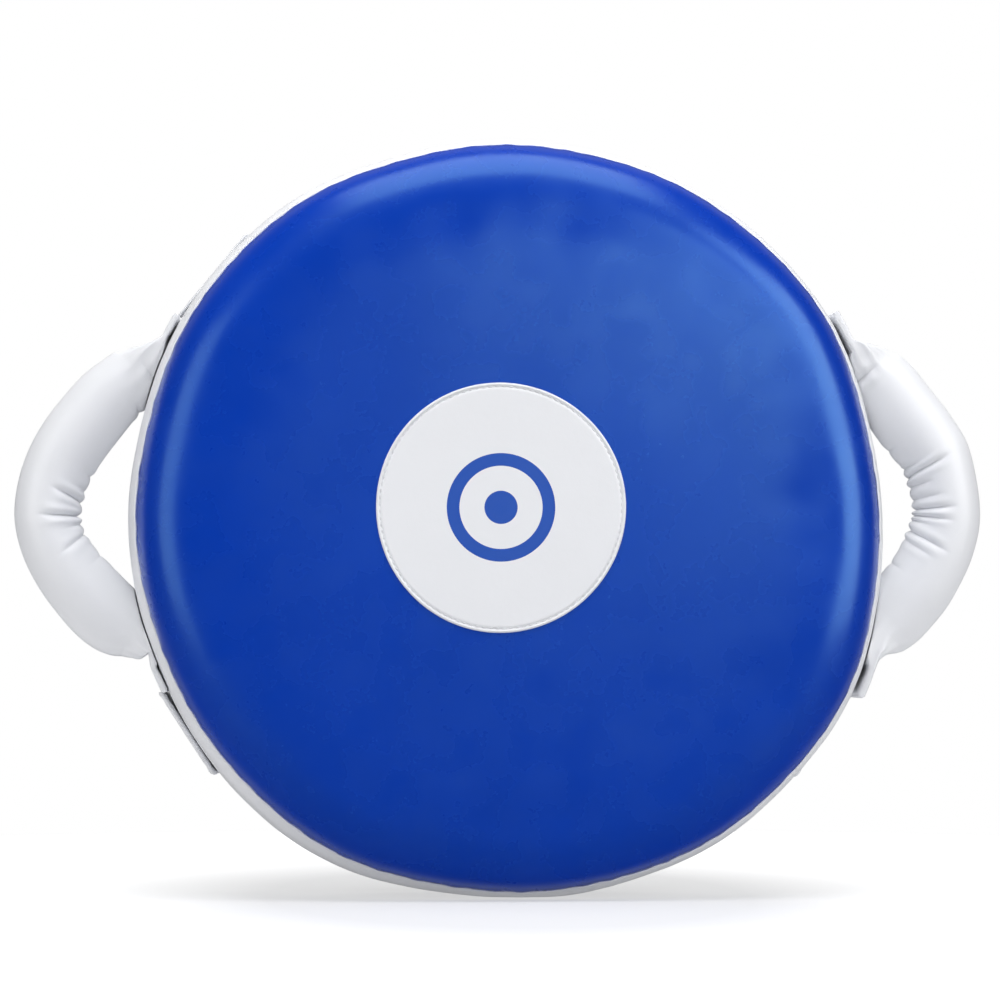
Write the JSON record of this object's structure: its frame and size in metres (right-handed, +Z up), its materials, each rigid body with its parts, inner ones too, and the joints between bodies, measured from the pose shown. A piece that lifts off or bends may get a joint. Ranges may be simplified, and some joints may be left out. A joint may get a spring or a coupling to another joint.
{
  "type": "kick shield",
  "caption": "Round stuffed kick shield with a rounded blue strike cover, white side band, padded side handles and adjustable rear arm straps.",
  "frame": {"origin": "floor level, in the middle of the bounding box of the shield standing on its edge", "axes": "+Z up; -Y is the way the strike face looks; +X to the right of a viewer who faces the strike face"},
  "size_m": [0.5976, 0.1526, 0.4591],
  "materials": {
    "blue_cover": "gloss",
    "white_cover": "satin",
    "black_cloth": "matte",
    "dense_foam": "matte",
    "soft_foam": "matte",
    "webbing": "matte",
    "hook_tape": "matte",
    "steel": "polished"
  },
  "bodies": {
    "shield": {"front_cover": "blue_cover", "target_patch": "white_cover", "front_piping": "white_cover", "side_band": "white_cover", "rear_panel": "black_cloth", "rear_binding": "black_cloth", "strike_foam": "dense_foam", "core_foam": "soft_foam", "back_foam": "dense_foam", "left_upper_tab": "white_cover", "left_lower_tab": "white_cover", "right_upper_tab": "white_cover", "right_lower_tab": "white_cover", "upper_long_strap": "white_cover", "upper_anchor_strap": "white_cover", "upper_strap_ring": "steel", "upper_loop_tape": "hook_tape", "lower_long_strap": "white_cover", "lower_anchor_strap": "white_cover", "lower_strap_ring": "steel", "lower_loop_tape": "hook_tape", "zip_outer_tape": "black_cloth", "zip_inner_tape": "black_cloth", "zip_coil": "black_cloth", "zip_open_stop": "steel", "zip_closed_stop": "steel"},
    "left_handle": {"left_handle_cover": "white_cover", "left_handle_foam": "soft_foam", "left_handle_webbing": "webbing"},
    "right_handle": {"right_handle_cover": "white_cover", "right_handle_foam": "soft_foam", "right_handle_webbing": "webbing"},
    "upper_flap": {"upper_strap_flap": "white_cover", "upper_hook_tape": "hook_tape"},
    "lower_flap": {"lower_strap_flap": "white_cover", "lower_hook_tape": "hook_tape"},
    "zip_slider": {"zip_slider": "steel"},
    "zip_pull": {"zip_pull": "steel"}
  },
  "joints": [
    {"name": "left_handle_swing", "type": "hinge", "parent": "shield", "child": "left_handle", "pos_m": [-0.24, 0.002, 0.2379], "axis": [0, 0, 1], "range_deg": [-25, 25], "stiffness_Nm_per_rad": 0.4},
    {"name": "right_handle_swing", "type": "hinge", "parent": "shield", "child": "right_handle", "pos_m": [0.24, 0.002, 0.2379], "axis": [0, 0, 1], "range_deg": [-25, 25], "stiffness_Nm_per_rad": 0.4},
    {"name": "upper_flap_peel", "type": "hinge", "parent": "shield", "child": "upper_flap", "pos_m": [-0.06, 0.0711, 0.3779], "axis": [0, 0, 1], "range_deg": [0, 115]},
    {"name": "lower_flap_peel", "type": "hinge", "parent": "shield", "child": "lower_flap", "pos_m": [-0.06, 0.0711, 0.0979], "axis": [0, 0, 1], "range_deg": [0, 115]},
    {"name": "zip_slide", "type": "hinge", "parent": "shield", "child": "zip_slider", "pos_m": [0, 0.047, 0.2284], "axis": [0, 1, 0], "range_deg": [0, 66]},
    {"name": "zip_pull_turn", "type": "hinge", "parent": "zip_slider", "child": "zip_pull", "pos_m": [0.11274, 0.052, 0.0548], "axis": [0.5446, 0, -0.8387], "range_deg": [0, 150]}
  ]
}
